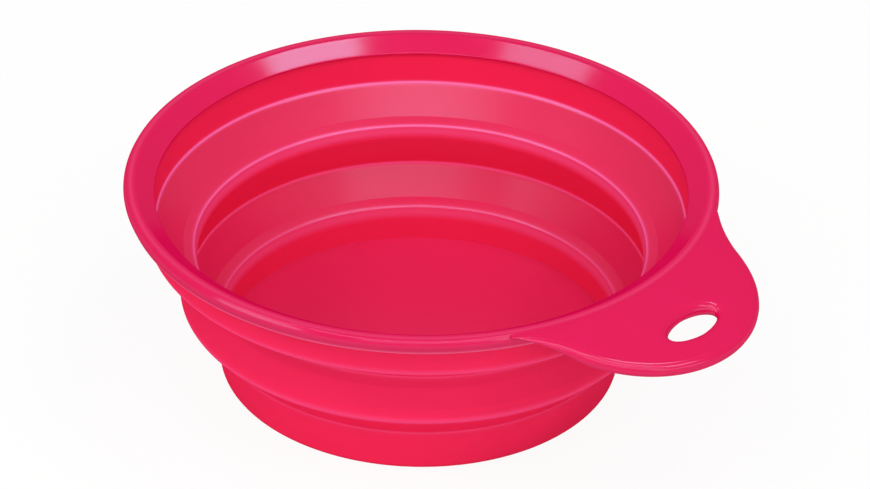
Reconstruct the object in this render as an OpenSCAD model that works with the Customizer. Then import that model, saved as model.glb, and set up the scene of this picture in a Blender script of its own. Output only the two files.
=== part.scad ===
// Collapsible silicone bowl: a stiff rim with a hanging tab, and a soft body
// whose upright bands telescope when the thin folds between them turn inside out.
// The bowl stands on the XY plane with its axis on Z, and the tab points along +X.

/* [Rim] */
// Outer diameter of the rim
rim_d = 140; // [110:1:180]
// Height of the rim's outer edge
rim_edge_h = 3.8; // [3.4:0.1:5]
// Width of the crest on top of the rim, outside the bevel
crest_w = 3; // [2.4:0.1:3.4]
// Drop of the bevel from the crest to the inner lip
bevel_drop = 2.4; // [1.8:0.1:2.6]
// Rounding of the rim's upper outer edge
crest_r = 1.4; // [1:0.1:1.5]
// Narrowing of the rim's outer edge towards its foot
skirt_draft = 1; // [0.5:0.1:1.4]
// Thickness of the skirt at the foot of the rim's outer edge
skirt_t = 1.2; // [1:0.1:1.5]

/* [Hanging tab] */
// Reach of the tab beyond the rim
tab_reach = 23.5; // [20:0.1:30]
// Radius of the tab's rounded end
tab_end_r = 30.4; // [26:0.1:34]
// Radius of the hollow curves where the tab leaves the rim
tab_flare_r = 35; // [25:0.5:45]
// Thickness of the tab
tab_t = 3.4; // [2.6:0.1:3.6]
// Slope of the tab below level, in degrees
tab_droop = 13; // [4:0.1:15]
// Width of the rounding along the tab's edge
tab_edge_w = 1.6; // [0.8:0.1:2]
// Length of the oval slot, across the tab
slot_l = 15.6; // [13:0.1:22]
// Width of the oval slot, along the tab
slot_w = 6.2; // [5:0.1:9]
// Distance from the slot's centre to the tab's tip
slot_inset = 10.7; // [9:0.1:12]
// Width of the rolled lip round the slot
slot_lip_w = 2.6; // [1:0.1:3]

/* [Bands] */
// Wall thickness of the bands and of the base cup
wall_t = 1.8; // [1.5:0.1:2.2]
// Overhang of the rim beyond the collar
rim_overhang = 4.9; // [4.4:0.1:6]
// Height of the collar below the rim
collar_h = 6.7; // [5:0.1:9]
// Narrowing of the collar towards its foot
collar_draft = 0.4; // [0:0.1:1]
// Height of the middle band, from nosing to foot
middle_h = 10.9; // [8:0.1:14]
// Widening of the middle band towards its foot
middle_flare = 1.8; // [0.5:0.1:2.2]
// Height of the base cup, from nosing to standing face
base_h = 12.8; // [11.5:0.1:16]
// Narrowing of the base cup towards its foot
base_draft = 2; // [0.5:0.1:3]

/* [Folds] */
// Height of the upper fold, which drops by twice this when it turns over
upper_fold_h = 7.5; // [6:0.1:9]
// Step inwards at the upper fold
upper_step = 9.5; // [8:0.1:11]
// Height of the lower fold, which drops by twice this when it turns over
lower_fold_h = 8.7; // [7:0.1:10]
// Step inwards at the lower fold
lower_step = 7.7; // [6.5:0.1:9]
// Width of the flatter ledge above each nosing
ledge_w = 2; // [1.4:0.1:2.6]
// Rise of the ledge from the nosing to the foot of the cone
ledge_rise = 0.8; // [0.6:0.1:1]
// Rounding of the nosing where a fold turns down into the next band
nosing_r = 1.5; // [0.6:0.1:1.6]

/* [Floor] */
// Thickness of the floor
floor_t = 4.5; // [3:0.1:5]
// Rounding between floor and wall, inside
floor_fillet_r = 1.5; // [1:0.1:3]
// Rounding of the foot, outside
foot_r = 2; // [1.5:0.1:3]

/* [Hidden] */

$fn = 128;
// Straight steps in each rounded corner of an outline
corner_steps = 6;
// Steps round the tab's end, along each flare, along its root, over its edges and across its faces
end_steps = 30;
flare_steps = 10;
root_steps = 24;
edge_steps = 8;
face_steps = 4;
// Gap between pieces that are moulded onto one another
bond_gap = 0.05;
// Gap between the tab's root and the rim that it is moulded with
root_gap = 0.08;
// Colours of the rim's plastic and of the silicone
rim_colour = "#e01f5b";
silicone_colour = "#df2450";

// Tongue on the collar that the rim's groove holds
tongue_t = 0.7;
tongue_h = 0.8;
// Depth of the hollow under the rim, behind its skirt
hollow_h = 1.8;
// Width of the solid land that carries the rim on the collar
land_w = 0.9;
// Rounding of the crest's inner edge and of the skirt's lower edge
bevel_r = 0.7;
skirt_r = 0.5;
// Upright stretch of the rim's outer edge, below the crest's rounding
face_h = 0.2;
// Width of the soft bend where the tab leaves the crest's level
bend_w = 0.8;
// Drop from the crest to the tab's thin inner edge, which lies on the crest's rounding
feather_drop = 0.1;
// Depth by which the flares' circles dip under the rim's edge
flare_dip = 0.7;
// Heel of a fold below the foot of the band above it
heel_h = 1.2;
heel_r = 1.6;
// Straight stretch of a fold below its nosing
nosing_tail = 1.2;
// Rise of a fold's outer crease above its lower face
crease_h = 0.2;
// Rounding at the foot of a fold's cone
cone_foot_r = 1;
// Lap of the floor on the wall's inner flange, and its height
lap_w = 3;
lap_h = 1.4;
// Level stretch of floor that belongs to the wall
floor_margin = 1;

rim_r = rim_d / 2;

// Inner and outer radii down the bowl
collar_top_out_r = rim_r - rim_overhang;
collar_top_in_r = collar_top_out_r - wall_t;
collar_foot_in_r = collar_top_in_r - collar_draft;
middle_top_in_r = collar_foot_in_r - upper_step;
middle_foot_in_r = middle_top_in_r + middle_flare;
base_top_in_r = middle_foot_in_r - lower_step;
base_foot_in_r = base_top_in_r - base_draft;

// Levels up the bowl
lower_nosing_z = base_h;
middle_foot_z = lower_nosing_z + lower_fold_h;
upper_nosing_z = middle_foot_z + middle_h;
collar_foot_z = upper_nosing_z + upper_fold_h;
rim_under_z = collar_foot_z + collar_h;
rim_top_z = rim_under_z + rim_edge_h;
base_top_z = lower_nosing_z - nosing_tail;
middle_top_z = upper_nosing_z - nosing_tail;

// Inner radius of the base cup at its floor, and radius of the floor disc
floor_edge_r = base_top_in_r - base_draft * (base_top_z - floor_t) / base_top_z;
floor_r = floor_edge_r - floor_fillet_r - floor_margin;

// Groove under the rim, centred on the collar's top
groove_r = (collar_top_in_r + collar_top_out_r) / 2;

// Angle between sides a and b of a triangle whose third side is c
function angle_between(a, b, c) = acos((a ^ 2 + b ^ 2 - c ^ 2) / (2 * a * b));

// Tab's plan: a round end, and flares that run from it to the root against the rim
tab_root_r = rim_r + root_gap;
tab_end_at = [rim_r + tab_reach - tab_end_r, 0];
slot_at = [rim_r + tab_reach - slot_inset, 0];
flare_far = rim_r - flare_dip + tab_flare_r;
flare_turn = angle_between(tab_end_at.x, flare_far, tab_end_r + tab_flare_r);
flare_at = flare_far * [cos(flare_turn), sin(flare_turn)];
flare_lean = atan2(flare_at.y, flare_at.x - tab_end_at.x);
flare_sweep = flare_lean - flare_turn - angle_between(tab_flare_r, flare_far, tab_root_r);
root_turn = flare_turn - angle_between(tab_root_r, flare_far, tab_flare_r);

function unit(v) = v / norm(v);

// Points of the arc of radius r that rounds the corner at b, on the way from a to c
function corner(a, b, c, r) =
    let (
        back = unit(a - b),
        ahead = unit(c - b),
        half = acos(back * ahead) / 2,
        centre = b + unit(back + ahead) * r / sin(half),
        start = b + back * r / tan(half) - centre,
        stop = b + ahead * r / tan(half) - centre,
        from = atan2(start.y, start.x),
        sweep = atan2(start.x * stop.y - start.y * stop.x, start * stop)
    )
    [
        for (i = [0:corner_steps])
            let (turn = from + sweep * i / corner_steps)
            centre + r * [cos(turn), sin(turn)]
    ];

// Outline through corners given as [x, y, rounding]
function rounded(corners) = [
    for (i = [0:len(corners) - 1])
        let (
            before = corners[(i + len(corners) - 1) % len(corners)],
            at = corners[i],
            after = corners[(i + 1) % len(corners)]
        )
        each at.z == 0
            ? [[at.x, at.y]]
            : corner([before.x, before.y], [at.x, at.y], [after.x, after.y], at.z)
];

module ring(corners) {
    rotate_extrude() polygon(rounded(corners));
}

// Stiff ring: crest, bevelled lip, outer skirt, and a groove below for the collar
module rim_frame() {
    bevel_top_r = rim_r - crest_w;
    bevel_foot_z = rim_top_z - bevel_drop;
    hollow_in_r = collar_top_out_r + land_w;
    hollow_out_r = rim_r - skirt_draft - skirt_t;
    hollow_top_z = rim_under_z + hollow_h;
    color(rim_colour) ring([
        [collar_top_in_r, rim_under_z, 0],
        [groove_r - tongue_t / 2 - bond_gap, rim_under_z, 0],
        [groove_r - tongue_t / 2 - bond_gap, rim_under_z + tongue_h + bond_gap, 0],
        [groove_r + tongue_t / 2 + bond_gap, rim_under_z + tongue_h + bond_gap, 0],
        [groove_r + tongue_t / 2 + bond_gap, rim_under_z, 0],
        [hollow_in_r, rim_under_z, 0],
        [hollow_in_r, hollow_top_z, 0],
        [hollow_out_r, hollow_top_z, 0],
        [hollow_out_r, rim_under_z, 0],
        [rim_r - skirt_draft, rim_under_z, skirt_r],
        [rim_r, rim_top_z - crest_r - face_h, 0],
        [rim_r, rim_top_z, crest_r],
        [bevel_top_r, rim_top_z, bevel_r],
        [collar_top_in_r, bevel_foot_z, 0]
    ]);
}

// Points along a flare from the tab's end to its root, with at most half the room to the rim as inset
function flare(inset) = [
    for (i = [1:flare_steps])
        let (
            turn = flare_lean - 180 - flare_sweep * i / flare_steps,
            way = [cos(turn), sin(turn)],
            room = norm(flare_at + tab_flare_r * way) - tab_root_r
        )
        flare_at + (tab_flare_r + min(inset, room / 2)) * way
];

// Radius of the rim's outer edge at a drop below its crest
function rim_edge_r(drop) =
    drop < crest_r
        ? rim_r - crest_r + sqrt(crest_r ^ 2 - (crest_r - drop) ^ 2)
        : rim_r - skirt_draft * max(0, drop - crest_r - face_h) / (rim_edge_h - crest_r - face_h);

// Plan of the tab at a depth below its upper face, drawn in by inset from its free edge
function tab_plan(inset, depth) = [
    for (i = [0:end_steps])
        let (turn = flare_lean * (2 * i / end_steps - 1))
        tab_end_at + (tab_end_r - inset) * [cos(turn), sin(turn)],
    each flare(inset),
    for (i = [1:root_steps - 1])
        let (turn = root_turn * (1 - 2 * i / root_steps))
        (rim_edge_r(max(depth, feather_drop)) + root_gap) * [cos(turn), sin(turn)],
    for (i = [flare_steps - 1:-1:0])
        [flare(inset)[i].x, -flare(inset)[i].y]
];

// Plan of the slot, let out by outset, with a point on the way to each point of the tab's plan
function slot_plan(outset) = [
    for (p = tab_plan(0, tab_t))
        let (way = unit(p - slot_at))
        slot_at + way * (outset + 1 / norm([way.x * 2 / slot_w, way.y * 2 / slot_l]))
];

// Height of the tab's upper face, which leaves the crest level and bends down outside the rim
function tab_top_z(radius) =
    rim_top_z - tan(tab_droop) * (radius - rim_r + norm([radius - rim_r, bend_w])) / 2;

// Ring of the tab's surface at a depth below its upper face
function tab_ring(plan, depth) = [for (p = plan) [p.x, p.y, tab_top_z(norm(p)) - depth]];

// Ring across a face of the tab, at a share of the way from its edge to the slot's lip
function face_ring(depth, share) =
    let (edge = tab_plan(tab_edge_w, depth))
    tab_ring(edge + (slot_plan(slot_lip_w) - edge) * share, depth);

// Drooping tab, lofted over its rounded edge and back through the slot's rolled lip
module hanging_tab() {
    turns = [for (i = [0:edge_steps]) 180 * i / edge_steps];
    steps = [for (i = [1:face_steps - 1]) i / face_steps];
    rings = [
        for (t = turns)
            let (depth = tab_t * (1 - cos(t)) / 2)
            tab_ring(tab_plan(tab_edge_w * (1 - sin(t)), depth), depth),
        for (s = steps) face_ring(tab_t, s),
        for (t = turns) tab_ring(slot_plan(slot_lip_w * (1 - sin(t))), tab_t * (1 + cos(t)) / 2),
        for (s = steps) face_ring(0, 1 - s)
    ];
    around = len(rings[0]);
    color(rim_colour) polyhedron(
        points = [for (r = rings) each r],
        faces = [
            for (j = [0:len(rings) - 1], i = [0:around - 1])
                let (
                    here = j * around,
                    next = (j + 1) % len(rings) * around,
                    k = (i + 1) % around
                )
                each [[here + i, here + k, next + k], [here + i, next + k, next + i]]
        ]
    );
}

// Upright band that carries the rim
module collar_band() {
    foot_out_r = collar_foot_in_r + wall_t;
    color(silicone_colour) ring([
        [collar_foot_in_r, collar_foot_z, 0],
        [foot_out_r, collar_foot_z, 0],
        [collar_top_out_r, rim_under_z, 0],
        [groove_r + tongue_t / 2, rim_under_z, 0],
        [groove_r + tongue_t / 2, rim_under_z + tongue_h, 0],
        [groove_r - tongue_t / 2, rim_under_z + tongue_h, 0],
        [groove_r - tongue_t / 2, rim_under_z, 0],
        [collar_top_in_r, rim_under_z, 0]
    ]);
}

// Cone that hangs from a band's foot and turns down over the next band's nosing
module fold(foot_in_r, foot_z, top_in_r, nosing_z) {
    foot_out_r = foot_in_r + wall_t;
    top_out_r = top_in_r + wall_t;
    top_z = nosing_z - nosing_tail;
    color(silicone_colour) ring([
        [foot_in_r, foot_z, 0],
        [top_in_r + ledge_w, nosing_z + ledge_rise, cone_foot_r],
        [top_in_r, nosing_z, nosing_r],
        [top_in_r, top_z, 0],
        [top_out_r, top_z, 0],
        [top_out_r, top_z + crease_h, 0],
        [foot_out_r, foot_z - heel_h, heel_r],
        [foot_out_r, foot_z, 0]
    ]);
}

module upper_fold() {
    fold(collar_foot_in_r, collar_foot_z, middle_top_in_r, upper_nosing_z);
}

// Upright band between the two folds
module middle_band() {
    color(silicone_colour) ring([
        [middle_foot_in_r, middle_foot_z, 0],
        [middle_foot_in_r + wall_t, middle_foot_z, 0],
        [middle_top_in_r + wall_t, middle_top_z, 0],
        [middle_top_in_r, middle_top_z, 0]
    ]);
}

module lower_fold() {
    fold(middle_foot_in_r, middle_foot_z, base_top_in_r, lower_nosing_z);
}

// Wall of the base cup, with a rounded foot and a flange that carries the floor
module base_wall() {
    color(silicone_colour) ring([
        [floor_r - lap_w + bond_gap, 0, 0],
        [base_foot_in_r + wall_t, 0, foot_r],
        [base_top_in_r + wall_t, base_top_z, 0],
        [base_top_in_r, base_top_z, 0],
        [floor_edge_r, floor_t, floor_fillet_r],
        [floor_r + bond_gap, floor_t, 0],
        [floor_r + bond_gap, lap_h, 0],
        [floor_r - lap_w + bond_gap, lap_h, 0]
    ]);
}

// Floor of the base cup, lapped on the wall's flange and flush with it below
module floor_disc() {
    color(silicone_colour) ring([
        [0, 0, 0],
        [floor_r - lap_w, 0, 0],
        [floor_r - lap_w, lap_h, 0],
        [floor_r, lap_h, 0],
        [floor_r, floor_t, 0],
        [0, floor_t, 0]
    ]);
}

rim_frame();
hanging_tab();
collar_band();
upper_fold();
middle_band();
lower_fold();
base_wall();
floor_disc();
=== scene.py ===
import math

import bmesh
import bpy
from mathutils import Matrix, Vector


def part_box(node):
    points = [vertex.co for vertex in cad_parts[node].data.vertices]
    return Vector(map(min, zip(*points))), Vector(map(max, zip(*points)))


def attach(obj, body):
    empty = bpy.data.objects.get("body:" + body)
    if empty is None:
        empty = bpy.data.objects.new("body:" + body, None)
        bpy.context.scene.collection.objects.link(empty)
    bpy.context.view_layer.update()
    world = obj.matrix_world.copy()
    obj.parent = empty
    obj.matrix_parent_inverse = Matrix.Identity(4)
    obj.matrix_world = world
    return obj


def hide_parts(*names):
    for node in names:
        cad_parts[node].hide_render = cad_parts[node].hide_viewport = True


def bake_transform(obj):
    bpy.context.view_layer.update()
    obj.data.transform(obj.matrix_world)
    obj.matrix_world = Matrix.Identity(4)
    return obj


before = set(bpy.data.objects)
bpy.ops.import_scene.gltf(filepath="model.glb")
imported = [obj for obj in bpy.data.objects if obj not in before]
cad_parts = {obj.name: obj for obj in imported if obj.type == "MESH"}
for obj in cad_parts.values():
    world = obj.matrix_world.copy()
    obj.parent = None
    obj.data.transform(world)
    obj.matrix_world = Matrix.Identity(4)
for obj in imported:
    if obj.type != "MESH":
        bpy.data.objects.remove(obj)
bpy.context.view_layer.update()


# Base cup
# The lowest band and the floor of the bowl: one moulding of soft red silicone, 1.8 mm thick in the wall.
# The wall leans in a little towards the foot, so that it leaves the mould, and meets the floor at a corner.
mm = 0.001
turn_steps = 240
wall_t = 1.8 * mm

base_out_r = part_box("base_wall")[1].y
base_in_r = base_out_r - wall_t
base_draft = 2 * mm
nosing_tail = 1.2 * mm
lower_nosing_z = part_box("base_wall")[1].z + nosing_tail
floor_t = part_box("floor_disc")[1].z
floor_inset = 1.2 * mm
foot_r = 2 * mm
base_step = 2 * mm
bead_w = 0.8 * mm
bead_h = 2.6 * mm


def along(low, high, height):
    """Radius at a height on the straight line between two (radius, height) corners."""
    return low[0] + (high[0] - low[0]) * (height - low[1]) / (high[1] - low[1])


def bead_foot(nosing):
    """Lower edge of the bead under a nosing."""
    return nosing[0] - bead_w, nosing[1] - bead_h


lower_nosing = base_in_r, lower_nosing_z
floor_edge = base_in_r - floor_inset, floor_t
base_foot = base_out_r - base_draft, 0
base_out_top = base_out_r, lower_nosing_z
base_seam_z = 9.4 * mm
base_seam = (
    along(floor_edge, bead_foot(lower_nosing), base_seam_z),
    along(base_foot, base_out_top, base_seam_z),
    base_seam_z,
)


def deselect_all():
    bpy.ops.object.select_all(action="DESELECT")


level_facing = 0.5
upward_facing = 0.6


def mark_skin(piece, painted_highlights):
    """Notes on each face corner whether it lies inside the bowl, how far it looks up, which sets a painted
    shade, and how near it is to a painted highlight line. Lines are (radius, height, width, strength)."""
    mesh = piece.data
    names = "inner_polish", "upward_painted_shade", "painted_crease_highlight"
    for name in names:
        mesh.attributes.new(name, "FLOAT", "CORNER")
    polish, upward_painted_shade, painted_highlight = (mesh.attributes[name].data for name in names)
    for i, corner in enumerate(mesh.loops):
        x, y, height = mesh.vertices[corner.vertex_index].co
        facing = mesh.corner_normals[i].vector
        radius = math.hypot(x, y)
        polish[i].value = float(facing.z > level_facing or facing.x * x + facing.y * y < 0)
        upward_painted_shade[i].value = min(1, max(0, facing.z / upward_facing))
        far = [((radius - r) ** 2 + (height - z) ** 2) / w**2 for r, z, w, _ in painted_highlights]
        painted_highlight[i].value = max((c[3] * math.exp(-f) for c, f in zip(painted_highlights, far)), default=0)


same_place = 1e-7
arc_step = math.radians(6)
least_arc_steps = 3
turned_smooth = math.radians(15)


def turned(name, corners, step, painted_highlights=()):
    """A piece spun once round the bowl's axis from a section of (radius, height, rounding) corners.
    Edges longer than step are divided. A section that starts and ends on the axis gives a disc."""
    deselect_all()
    bpy.ops.mesh.primitive_circle_add(vertices=len(corners))
    piece = bpy.context.object
    piece.name = piece.data.name = name
    bpy.ops.object.mode_set(mode="EDIT")
    section = bmesh.from_edit_mesh(piece.data)
    places = [Vector((radius, 0, height)) for radius, height, _ in corners]
    for vertex, place in zip(section.verts, places):
        vertex.co = place

    for i, (_, _, rounding) in enumerate(corners):
        if not rounding:
            continue
        back = places[i - 1] - places[i]
        ahead = places[(i + 1) % len(places)] - places[i]
        half = back.angle(ahead) / 2
        section = bmesh.from_edit_mesh(piece.data)
        for vertex in section.verts:
            vertex.select_set((vertex.co - places[i]).length < same_place)
        section.select_flush_mode()
        bpy.ops.mesh.bevel(
            affect="VERTICES",
            offset_type="OFFSET",
            offset=rounding / math.tan(half),
            segments=max(least_arc_steps, math.ceil((math.pi - 2 * half) / arc_step)),
            profile=0.5,
        )

    section = bmesh.from_edit_mesh(piece.data)
    cuts = {}
    for edge in section.edges:
        on_axis = all(abs(v.co.x) < same_place for v in edge.verts)
        cuts.setdefault(-1 if on_axis else int(edge.calc_length() / step), []).append(edge)
    for count, edges in sorted(cuts.items()):
        bpy.ops.mesh.select_all(action="DESELECT")
        for edge in edges:
            edge.select_set(True)
        if count == -1:
            bpy.ops.mesh.delete(type="EDGE")
        elif count:
            bpy.ops.mesh.subdivide(number_cuts=count)
        section = bmesh.from_edit_mesh(piece.data)

    bpy.ops.mesh.select_all(action="SELECT")
    bpy.ops.mesh.spin(steps=turn_steps, angle=math.tau, center=(0, 0, 0), axis=(0, 0, 1))
    bpy.ops.mesh.select_all(action="SELECT")
    bpy.ops.mesh.remove_doubles(threshold=same_place)
    bpy.ops.mesh.normals_make_consistent(inside=False)
    bpy.ops.object.mode_set(mode="OBJECT")
    bpy.ops.object.shade_smooth_by_angle(angle=turned_smooth)
    mark_skin(piece, painted_highlights)
    return piece


base_cup = turned(
    "base_cup",
    [
        (0, floor_t, 0),
        (*floor_edge, 0),
        (base_seam[0], base_seam_z, 0),
        (base_seam[1], base_seam_z, 0),
        (*base_foot, foot_r),
        (0, 0, 0),
    ],
    base_step,
)


def linear(hex_colour):
    """An sRGB hex colour as linear RGBA."""
    levels = [int(hex_colour[i:i + 2], 16) / 255 for i in (1, 3, 5)]
    return [x / 12.92 if x <= 0.04045 else ((x + 0.055) / 1.055) ** 2.4 for x in levels] + [1]


def add_node(tree, kind, settings, links=()):
    """Adds a node, sets its properties and sockets by name, and links sockets to other nodes' outputs."""
    node = tree.nodes.new(kind)
    for name, value in settings.items():
        if hasattr(node, name):
            setattr(node, name, value)
        else:
            node.inputs[name].default_value = value
    for socket, source in dict(links).items():
        tree.links.new(source, node.inputs[socket])
    return node


def mixed(tree, share, first, second):
    """A colour between two by a share from 0 to 1. Each is a hex colour or another node's output."""
    node = add_node(tree, "ShaderNodeMix", {"data_type": "RGBA"}, {"Factor": share})
    for socket, colour in ((node.inputs[6], first), (node.inputs[7], second)):
        if isinstance(colour, str):
            socket.default_value = linear(colour)
        else:
            tree.links.new(colour, socket)
    return node.outputs[2]


def new_material(name):
    material = bpy.data.materials.new(name)
    material.use_nodes = True
    material.node_tree.nodes.clear()
    return material


# Silicone rubber from a fine-blasted steel mould: a satin skin, duller outside, with lilac highlights painted
# along its creases.
# The pigment is not quite even, faces that look up get a painted shade of deeper red, and blasting leaves a
# very fine grain.
silicone = new_material("satin_silicone")
tree = silicone.node_tree
silicone_red = "#e92551"
silicone_deep_red = "#e5224d"
# Deeper red painted on faces that look up: painted shade against the extra light they get.
painted_shade_red = "#ce1f4c"
inner_gleam = "#163039"
outer_gleam = "#070e1a"
# Lilac painted highlight along the nosings, beads and creases of the folds.
painted_highlight_lilac = "#f06cb0"
pigment_swirl = 14 * mm
skin_grain = 0.5 * mm
grain_depth = 0.006 * mm
place = add_node(tree, "ShaderNodeTexCoord", {})
swirl = add_node(
    tree,
    "ShaderNodeTexNoise",
    {"Scale": 1 / pigment_swirl, "Detail": 3, "Roughness": 0.55},
    {"Vector": place.outputs["Object"]},
)
pigment = mixed(tree, swirl.outputs["Fac"], silicone_deep_red, silicone_red)
# Faces that look up are mixed towards the deeper red: painted shade.
upward_painted_shade = add_node(tree, "ShaderNodeAttribute", {"attribute_name": "upward_painted_shade"})
shaded = mixed(tree, upward_painted_shade.outputs["Fac"], pigment, painted_shade_red)
# Painted highlight: lilac mixed in along the creases.
painted_highlight = add_node(tree, "ShaderNodeAttribute", {"attribute_name": "painted_crease_highlight"})
with_painted_highlight = mixed(tree, painted_highlight.outputs["Fac"], shaded, painted_highlight_lilac)
polish = add_node(tree, "ShaderNodeAttribute", {"attribute_name": "inner_polish"})
gleam_share = mixed(tree, polish.outputs["Fac"], outer_gleam, inner_gleam)
grain = add_node(
    tree,
    "ShaderNodeTexNoise",
    {"Scale": 1 / skin_grain, "Detail": 2, "Roughness": 0.6},
    {"Vector": place.outputs["Object"]},
)
skin = add_node(
    tree,
    "ShaderNodeMapRange",
    {"To Min": 0.2, "To Max": 0.27},
    {"Value": grain.outputs["Fac"]},
)
blasting = add_node(
    tree,
    "ShaderNodeBump",
    {"Strength": 0.5, "Distance": grain_depth},
    {"Height": grain.outputs["Fac"]},
)
rubber = add_node(
    tree,
    "ShaderNodeBsdfDiffuse",
    {},
    {"Color": with_painted_highlight, "Normal": blasting.outputs["Normal"]},
)
gleam = add_node(
    tree,
    "ShaderNodeBsdfGlossy",
    {},
    {"Color": gleam_share, "Roughness": skin.outputs["Result"], "Normal": blasting.outputs["Normal"]},
)
satin = add_node(tree, "ShaderNodeAddShader", {}, {0: rubber.outputs["BSDF"], 1: gleam.outputs["BSDF"]})
add_node(tree, "ShaderNodeOutputMaterial", {}, {"Surface": satin.outputs["Shader"]})

base_cup.data.materials.append(silicone)
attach(base_cup, "base")
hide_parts("base_wall", "floor_disc")


# Lower fold
# The thinner cone between the base and the middle band, part of the same silicone moulding.
# It turns inside out when the bowl is pressed flat, round the nosing below and the heel above.
middle_out_foot_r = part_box("middle_band")[1].y
middle_in_foot_r = middle_out_foot_r - wall_t
middle_flare = 1.8 * mm
middle_foot_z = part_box("middle_band")[0].z
upper_nosing_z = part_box("middle_band")[1].z + nosing_tail
middle_seam_rise = 1.6 * mm
middle_low_seam_z = middle_foot_z + middle_seam_rise
middle_seam_drop = 3.8 * mm
middle_high_seam_z = upper_nosing_z - middle_seam_drop

ledge_w = 2.6 * mm
ledge_rise = 1.1 * mm
nosing_r = 1 * mm
bead_r = 2.5 * mm
inner_crease_w = 0.4 * mm
inner_crease_drop = 0.5 * mm
inner_crease_r = 1.6 * mm
crease_rise = 0.2 * mm
crease_r = 0.8 * mm
heel_h = 1.8 * mm
heel_r = 2 * mm
fold_step = 0.45 * mm
# Widths and strengths of the lilac highlights painted along each fold.
inner_line_w = 0.36 * mm
bead_painted_highlight = 0.22
outer_crease_w = 0.6 * mm
outer_crease_painted_highlight = 0.2
outer_heel_w = 1 * mm
outer_heel_painted_highlight = 0.25


def fold_section(below, nosing, crease, heel, above):
    """Corners of a fold between a seam below, (inner radius, outer radius, height), and a seam above.
    Its nosing and inner crease are (radius, height), and so is the foot of the band above, on the outside."""
    low_in_r, low_out_r, low_z = below
    high_in_r, high_out_r, high_z = above
    return [
        (low_in_r, low_z, 0),
        (*bead_foot(nosing), bead_r),
        (*nosing, nosing_r),
        (nosing[0] + ledge_w, nosing[1] + ledge_rise, 0),
        (*crease, inner_crease_r),
        (high_in_r, high_z, 0),
        (high_out_r, high_z, 0),
        (heel[0], heel[1] - heel_h, heel_r),
        (nosing[0] + wall_t, nosing[1] - nosing_tail + crease_rise, crease_r),
        (low_out_r, low_z, 0),
    ]


middle_crease = middle_in_foot_r - inner_crease_w, middle_foot_z - inner_crease_drop
middle_heel = middle_out_foot_r, middle_foot_z
upper_nosing = middle_in_foot_r - middle_flare, upper_nosing_z
middle_out_top = upper_nosing[0] + wall_t, upper_nosing_z


def middle_seam(height):
    """Inner and outer radius of the middle band at a height, and the height."""
    inner_r = along(middle_crease, bead_foot(upper_nosing), height)
    return inner_r, along(middle_heel, middle_out_top, height), height


def painted_crease_highlights(nosing, crease, heel, nosing_painted_highlight, painted_crease_highlight):
    """Circles along which a fold gets a painted highlight: nosing, bead and crease inside, and more faintly
    two outside.
    """
    bead_middle = nosing[0] - bead_w / 2, nosing[1] - bead_h / 2
    outer_crease = nosing[0] + wall_t, nosing[1] - nosing_tail + crease_rise
    outer_heel = heel[0], heel[1] - heel_h
    return [
        (*nosing, inner_line_w, nosing_painted_highlight),
        (*bead_middle, bead_h / 2, bead_painted_highlight),
        (*crease, inner_line_w, painted_crease_highlight),
        (*outer_crease, outer_crease_w, outer_crease_painted_highlight),
        (*outer_heel, outer_heel_w, outer_heel_painted_highlight),
    ]


lower_fold = turned(
    "lower_fold_skin",
    fold_section(base_seam, lower_nosing, middle_crease, middle_heel, middle_seam(middle_low_seam_z)),
    fold_step,
    painted_crease_highlights(lower_nosing, middle_crease, middle_heel, nosing_painted_highlight=0.4, painted_crease_highlight=0.6),
)
lower_fold.data.materials.append(silicone)
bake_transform(lower_fold)
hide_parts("lower_fold")


# Middle band
# The upright ring between the two folds, stiff enough to keep its round shape when the bowl collapses.
# It is the same silicone moulding, and flares a little towards its foot.
band_step = 1 * mm


def band_section(below, above):
    """Corners of an upright band between two seams, each (inner radius, outer radius, height)."""
    low_in_r, low_out_r, low_z = below
    high_in_r, high_out_r, high_z = above
    return [(low_in_r, low_z, 0), (high_in_r, high_z, 0), (high_out_r, high_z, 0), (low_out_r, low_z, 0)]


middle_band = turned(
    "middle_wall",
    band_section(middle_seam(middle_low_seam_z), middle_seam(middle_high_seam_z)),
    band_step,
)
middle_band.data.materials.append(silicone)
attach(middle_band, "middle")
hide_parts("middle_band")


# Upper fold
# The wider cone between the middle band and the collar, again part of the silicone moulding.
# It works as the lower one does, round the nosing of the middle band and the heel of the collar.
collar_out_top_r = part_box("collar_band")[1].y
collar_in_top_r = collar_out_top_r - wall_t
collar_draft = 0.4 * mm
collar_foot_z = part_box("collar_band")[0].z
rim_top_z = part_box("rim_frame")[1].z
bevel_drop = 2.8 * mm
lip_t = 0.4 * mm
collar_top_z = rim_top_z - bevel_drop - lip_t
collar_seam_rise = 1.8 * mm
collar_seam_z = collar_foot_z + collar_seam_rise
collar_heel = collar_out_top_r - collar_draft, collar_foot_z
collar_crease = collar_in_top_r - collar_draft - inner_crease_w, collar_foot_z - inner_crease_drop
collar_top = collar_in_top_r, collar_out_top_r, collar_top_z
collar_seam = (
    along(collar_crease, (collar_in_top_r, collar_top_z), collar_seam_z),
    along(collar_heel, (collar_out_top_r, collar_top_z), collar_seam_z),
    collar_seam_z,
)
upper_fold = turned(
    "upper_fold_skin",
    fold_section(middle_seam(middle_high_seam_z), upper_nosing, collar_crease, collar_heel, collar_seam),
    fold_step,
    painted_crease_highlights(upper_nosing, collar_crease, collar_heel, nosing_painted_highlight=0.7, painted_crease_highlight=1),
)
upper_fold.data.materials.append(silicone)
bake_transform(upper_fold)
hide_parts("upper_fold")


# Collar
# The top ring of the silicone moulding, moulded on to the stiff rim and held in a pocket under its lip.
# Its inner face runs straight up under the lip, which overhangs it by less than a millimetre.
collar = turned("collar_wall", band_section(collar_seam, collar_top), band_step)
collar.data.materials.append(silicone)
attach(collar, "rim")
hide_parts("collar_band")


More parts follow.
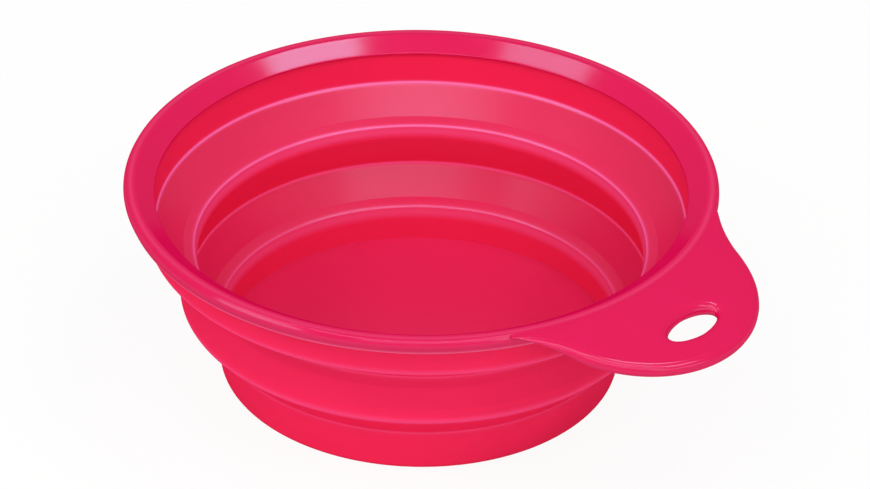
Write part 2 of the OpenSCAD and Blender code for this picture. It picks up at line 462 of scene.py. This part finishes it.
# Rim
# The stiff ring that keeps the mouth round: injection-moulded polypropylene in the colour of the silicone.
# It has a flat crest with a small round shoulder, a lip that slopes into the bowl, and a hollow underneath.
rim_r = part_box("rim_frame")[1].y
rim_under_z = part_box("rim_frame")[0].z
crest_w = 3 * mm
crest_r = 0.6 * mm
shoulder_w = 0.7 * mm
shoulder_h = 1.4 * mm
shoulder_r = 1.4 * mm
# Two pale pink lines painted on the rim as highlights: near the crest and along the lower outer edge.
crest_line_in = 1.8 * mm
crest_line_w = 0.5 * mm
crest_painted_highlight = 0.12
edge_line_w = 0.6 * mm
edge_painted_highlight = 0.5
bevel_r = 0.7 * mm
lip_edge_r = 0.3 * mm
lip_overhang = 0.7 * mm
lip_r = collar_in_top_r - lip_overhang
skirt_draft = 1 * mm
skirt_t = 1.2 * mm
skirt_r = 0.5 * mm
hollow_h = 1.8 * mm
hollow_out_r = rim_r - skirt_draft - skirt_t
pocket_t = 0.9 * mm
hollow_in_r = collar_out_top_r + pocket_t
rim_step = 0.4 * mm
rim = turned(
    "rim_ring",
    [
        (lip_r, collar_top_z, 0),
        (lip_r, rim_top_z - bevel_drop, lip_edge_r),
        (rim_r - crest_w, rim_top_z, bevel_r),
        (rim_r - shoulder_w, rim_top_z, crest_r),
        (rim_r, rim_top_z - shoulder_h, shoulder_r),
        (rim_r - skirt_draft, rim_under_z, skirt_r),
        (hollow_out_r, rim_under_z, 0),
        (hollow_out_r, rim_under_z + hollow_h, 0),
        (hollow_in_r, rim_under_z + hollow_h, 0),
        (hollow_in_r, rim_under_z, 0),
        (collar_out_top_r, rim_under_z, 0),
        (collar_out_top_r, collar_top_z, 0),
    ],
    rim_step,
    painted_highlights=[
        (rim_r - crest_line_in, rim_top_z, crest_line_w, crest_painted_highlight),
        (rim_r - skirt_draft, rim_under_z, edge_line_w, edge_painted_highlight),
    ],
)

# Polypropylene from a polished mould: a smooth skin that shows the lamps as clear soft patches.
# It flows a little unevenly as it fills the mould, which leaves long faint waves in the gloss,
# and pale pink highlights are painted along the crest and the lower edge.
plastic = new_material("gloss_polypropylene")
tree = plastic.node_tree
plastic_red = "#cc0a4a"
plastic_deep_red = "#c90846"
plastic_gleam = "#162d37"
# Pale pink painted highlight for the crest and the lower edge.
painted_highlight_pink = "#f47aa6"
flow_wave = 9 * mm
flow_depth = 0.02 * mm
place = add_node(tree, "ShaderNodeTexCoord", {})
flow = add_node(
    tree,
    "ShaderNodeTexNoise",
    {"Scale": 1 / flow_wave, "Detail": 2, "Roughness": 0.5},
    {"Vector": place.outputs["Object"]},
)
tone = mixed(tree, flow.outputs["Fac"], plastic_deep_red, plastic_red)
# Painted highlight: pale pink mixed in along the crest and the lower edge.
painted_highlight = add_node(tree, "ShaderNodeAttribute", {"attribute_name": "painted_crease_highlight"})
with_painted_highlight = mixed(tree, painted_highlight.outputs["Fac"], tone, painted_highlight_pink)
gloss = add_node(
    tree,
    "ShaderNodeMapRange",
    {"To Min": 0.12, "To Max": 0.16},
    {"Value": flow.outputs["Fac"]},
)
wave = add_node(
    tree,
    "ShaderNodeBump",
    {"Strength": 0.3, "Distance": flow_depth},
    {"Height": flow.outputs["Fac"]},
)
moulding = add_node(
    tree,
    "ShaderNodeBsdfDiffuse",
    {},
    {"Color": with_painted_highlight, "Normal": wave.outputs["Normal"]},
)
gleam = add_node(
    tree,
    "ShaderNodeBsdfGlossy",
    {"Color": linear(plastic_gleam)},
    {"Roughness": gloss.outputs["Result"], "Normal": wave.outputs["Normal"]},
)
glossy = add_node(tree, "ShaderNodeAddShader", {}, {0: moulding.outputs["BSDF"], 1: gleam.outputs["BSDF"]})
add_node(tree, "ShaderNodeOutputMaterial", {}, {"Surface": glossy.outputs["Shader"]})

rim.data.materials.append(plastic)
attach(rim, "rim")
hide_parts("rim_frame")


# Hanging tab
# A flat ear moulded in one with the rim, which droops a little and has a slot for a hook or a strap.
# Its edge is rounded all over, it thins towards the tips of its flares, and the slot has a wide rolled lip.
tab_tip_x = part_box("hanging_tab")[1].x
tab_end_r = 30.4 * mm
tab_flare_r = 35 * mm
tab_t = 3.4 * mm
tab_droop = math.radians(13)
bend_w = 0.8 * mm
tab_edge_w = 1.6 * mm
tab_sink = 1.5 * mm
tip_step = 0.25 * mm
tip_share = 0.12
thinning_share = 0.35
flare_dip = 0.7 * mm
slot_l = 15.6 * mm
slot_w = 6.2 * mm
slot_inset = 10.7 * mm
slot_lip_w = 2.6 * mm
end_steps = 56
flare_steps = 32
root_steps = 56
edge_steps = 10
face_steps = 10
tab_smooth = math.radians(40)


def angle_between(a, b, c):
    """Angle between sides a and b of a triangle whose third side is c."""
    return math.acos((a * a + b * b - c * c) / (2 * a * b))


def polar(centre, radius, turn):
    return centre + radius * Vector((math.cos(turn), math.sin(turn)))


axis = Vector((0, 0))
tab_end = Vector((tab_tip_x - tab_end_r, 0))
slot = Vector((tab_tip_x - slot_inset, 0))
tip_r = rim_r + tip_step
flare_far = rim_r - flare_dip + tab_flare_r
flare_turn = angle_between(tab_end.x, flare_far, tab_end_r + tab_flare_r)
flare = polar(axis, flare_far, flare_turn)
flare_lean = math.atan2(flare.y, flare.x - tab_end.x)
flare_sweep = flare_lean - flare_turn - angle_between(tab_flare_r, flare_far, tip_r)
root_turn = flare_turn - angle_between(tip_r, flare_far, tab_flare_r)


def flare_point(share, inset):
    """A point of the tab's edge on the way from its round end to the rim, drawn in by inset."""
    turn = flare_lean - math.pi - flare_sweep * share
    room = polar(flare, tab_flare_r, turn).length - tip_r
    return polar(flare, tab_flare_r + min(inset, room / 2), turn)


def tab_plan(inset):
    """Points round the tab, drawn in by inset from its free edge."""
    flares = [flare_point(i / flare_steps, inset) for i in range(1, flare_steps + 1)]
    end_turns = [flare_lean * (2 * i / end_steps - 1) for i in range(end_steps + 1)]
    root_turns = [root_turn * (1 - 2 * i / root_steps) for i in range(root_steps + 1)]
    return (
        [polar(tab_end, tab_end_r - inset, turn) for turn in end_turns]
        + flares
        + [polar(axis, rim_r - tab_sink, turn) for turn in root_turns]
        + [Vector((p.x, -p.y)) for p in reversed(flares)]
    )


def slot_plan(outset):
    """Points round the slot, each on the way to a point of the tab's edge, let out by outset."""
    ways = [(p - slot).normalized() for p in tab_plan(0)]
    return [slot + w * (outset + 1 / Vector((2 * w.x / slot_w, 2 * w.y / slot_l)).length) for w in ways]


def tab_top(radius):
    """Height of the tab's upper face, which leaves the crest level and bends down outside the rim."""
    out = radius - rim_r
    return rim_top_z - math.tan(tab_droop) * (out + math.hypot(out, bend_w)) / 2


def tab_thinning(p):
    """Share of the tab's thickness at a point, which falls towards the tips of its flares."""
    turn = math.atan2(abs(p.y), p.x)
    return min(1, max(tip_share, (root_turn - turn) / (thinning_share * root_turn)))


def tab_ring(plan, depth):
    """Points at a depth below the tab's upper face."""
    return [Vector((p.x, p.y, tab_top(p.length) - depth * tab_thinning(p))) for p in plan]


half_turns = [math.pi * i / edge_steps for i in range(edge_steps + 1)]
face_shares = [i / face_steps for i in range(1, face_steps)]
face_edge = tab_plan(tab_edge_w)
lip_edge = slot_plan(slot_lip_w)
face_rings = [[a.lerp(b, share) for a, b in zip(face_edge, lip_edge)] for share in face_shares]
tab_rings = (
    [tab_ring(tab_plan(tab_edge_w * (1 - math.sin(t))), tab_t * (1 - math.cos(t)) / 2) for t in half_turns]
    + [tab_ring(ring, tab_t) for ring in face_rings]
    + [tab_ring(slot_plan(slot_lip_w * (1 - math.sin(t))), tab_t * (1 + math.cos(t)) / 2) for t in half_turns]
    + [tab_ring(ring, 0) for ring in reversed(face_rings)]
)

deselect_all()
bpy.ops.mesh.primitive_circle_add(vertices=len(face_edge))
tab = bpy.context.object
tab.name = tab.data.name = "hanging_ear"
bpy.ops.object.mode_set(mode="EDIT")
for i, ring in enumerate(tab_rings + tab_rings[:1]):
    if i:
        bpy.ops.mesh.extrude_edges_move()
    loft = bmesh.from_edit_mesh(tab.data)
    moving = [v for v in loft.verts if v.select]
    for vertex, spot in zip(moving, ring):
        vertex.co = spot
bpy.ops.mesh.select_all(action="SELECT")
bpy.ops.mesh.remove_doubles(threshold=same_place)
bpy.ops.mesh.normals_make_consistent(inside=False)
bpy.ops.object.mode_set(mode="OBJECT")
bpy.ops.object.shade_smooth_by_angle(angle=tab_smooth)
tab.data.materials.append(plastic)
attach(tab, "rim")
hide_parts("hanging_tab")


# Studio floor
# A sheet of white paper under the bowl. It shows as white to the camera and in gloss, keeps a faint shadow,
# and lights the bowl from below as plain paper does.
floor_size = 6
paper_glow = "#ffffff"
paper_skin = "#e8e8e6"
shadow_share = 0.08
deselect_all()
bpy.ops.mesh.primitive_plane_add(size=floor_size)
paper = bpy.context.object
paper.name = "studio_floor"
sheet = new_material("white_paper")
tree = sheet.node_tree
ray = add_node(tree, "ShaderNodeLightPath", {})
seen = add_node(
    tree,
    "ShaderNodeMath",
    {"operation": "MAXIMUM"},
    {0: ray.outputs["Is Camera Ray"], 1: ray.outputs["Is Glossy Ray"]},
)
shown = add_node(
    tree,
    "ShaderNodeMath",
    {"operation": "MAXIMUM"},
    {0: seen.outputs["Value"], 1: ray.outputs["Is Transmission Ray"]},
)
lit_share = add_node(tree, "ShaderNodeMath", {"operation": "MULTIPLY"}, {0: shown.outputs["Value"]})
lit_share.inputs[1].default_value = 1 - shadow_share
matt = add_node(tree, "ShaderNodeBsdfDiffuse", {"Color": linear(paper_skin)})
glow = add_node(tree, "ShaderNodeEmission", {"Color": linear(paper_glow), "Strength": 1})
mix = add_node(
    tree,
    "ShaderNodeMixShader",
    {},
    {0: lit_share.outputs["Value"], 1: matt.outputs["BSDF"], 2: glow.outputs["Emission"]},
)
add_node(tree, "ShaderNodeOutputMaterial", {}, {"Surface": mix.outputs["Shader"]})
paper.data.materials.append(sheet)


# Studio light
# Soft boxes round the bowl, placed as the photographer stands: to the right, behind and above it.
# Three in front give the cones their sheen, two hang overhead and give the lip its two bright patches,
# four at the sides light the walls and the near rim, and the white room fills the shadows.
view_azimuth = math.radians(41.9)
lamp_aim = Vector((0, 0, 30 * mm))


def studio_place(right, behind, up):
    """A place given from the bowl's foot, as seen by the camera."""
    turn = Matrix.Rotation(view_azimuth, 3, "Z")
    return turn @ Vector((right, behind, up))


def soft_box(name, place, size, power, spin=0):
    """A lamp that looks at the bowl, spun about the way it looks."""
    deselect_all()
    bpy.ops.object.light_add(type="AREA", location=place)
    lamp = bpy.context.object
    lamp.name = name
    lamp.data.shape = "RECTANGLE"
    lamp.data.size, lamp.data.size_y = size
    lamp.data.energy = power
    look = (lamp_aim - place).to_track_quat("-Z", "Y").to_matrix()
    lamp.rotation_euler = (look @ Matrix.Rotation(math.radians(spin), 3, "Z")).to_euler()


soft_box("front_window", studio_place(0.15, -1.0, 0.6), (1.2, 0.4), 2.4)
soft_box("line_box", studio_place(0, -0.75, 0.82), (1.2, 0.07), 1.1)
soft_box("high_box", studio_place(0, -0.5, 1.02), (1.2, 0.17), 3.3)
soft_box("right_low_box", studio_place(0.8, -0.75, 0.3), (0.8, 0.2), 1.2)
soft_box("right_box", studio_place(0.7, -0.42, 0.8), (0.4, 0.06), 1.4)
soft_box("left_overhead_box", studio_place(-0.37, 0.14, 1.0), (0.12, 0.33), 0.75, spin=-17)
soft_box("right_overhead_box", studio_place(0.33, 0.11, 1.0), (0.12, 0.34), 1.4, spin=16)
soft_box("left_box", studio_place(-0.77, -0.31, 0.72), (0.5, 0.16), 2.0)
soft_box("left_low_box", studio_place(-0.85, -0.53, 0.24), (0.6, 0.2), 1.3)

world = bpy.data.worlds.new("white_room")
bpy.context.scene.world = world
world.use_nodes = True
tree = world.node_tree
tree.nodes.clear()
room_white = "#ffffff"
room_fill = 0.5
fill = add_node(tree, "ShaderNodeBackground", {"Color": linear(room_white), "Strength": room_fill})
add_node(tree, "ShaderNodeOutputWorld", {}, {"Surface": fill.outputs["Background"]})


# Camera
# A long lens a little over a metre away, about 32 degrees above the floor, with the tab to the front right.
image_w = 870
film_w = 36
focal_px = 5015
camera_distance = 1.1756
camera_elevation = math.radians(31.72)
camera_roll = math.radians(0.91)
aim_right = 3.39 * mm
aim_drop = 15.66 * mm
bpy.ops.object.camera_add()
camera = bpy.context.object
camera.data.sensor_width = film_w
camera.data.lens = film_w * focal_px / image_w
mouth = Vector((0, 0, rim_top_z))
back = studio_place(0, -math.cos(camera_elevation), math.sin(camera_elevation))
to_right = studio_place(1, 0, 0)
to_top = back.cross(to_right)
camera.location = mouth + back * camera_distance
aim = mouth + to_right * aim_right - to_top * aim_drop
look = (aim - camera.location).to_track_quat("-Z", "Y").to_matrix()
roll = Matrix.Rotation(camera_roll, 3, "Z")
camera.rotation_euler = (look @ roll).to_euler()
bpy.context.scene.camera = camera
bpy.context.scene.view_settings.view_transform = "Standard"
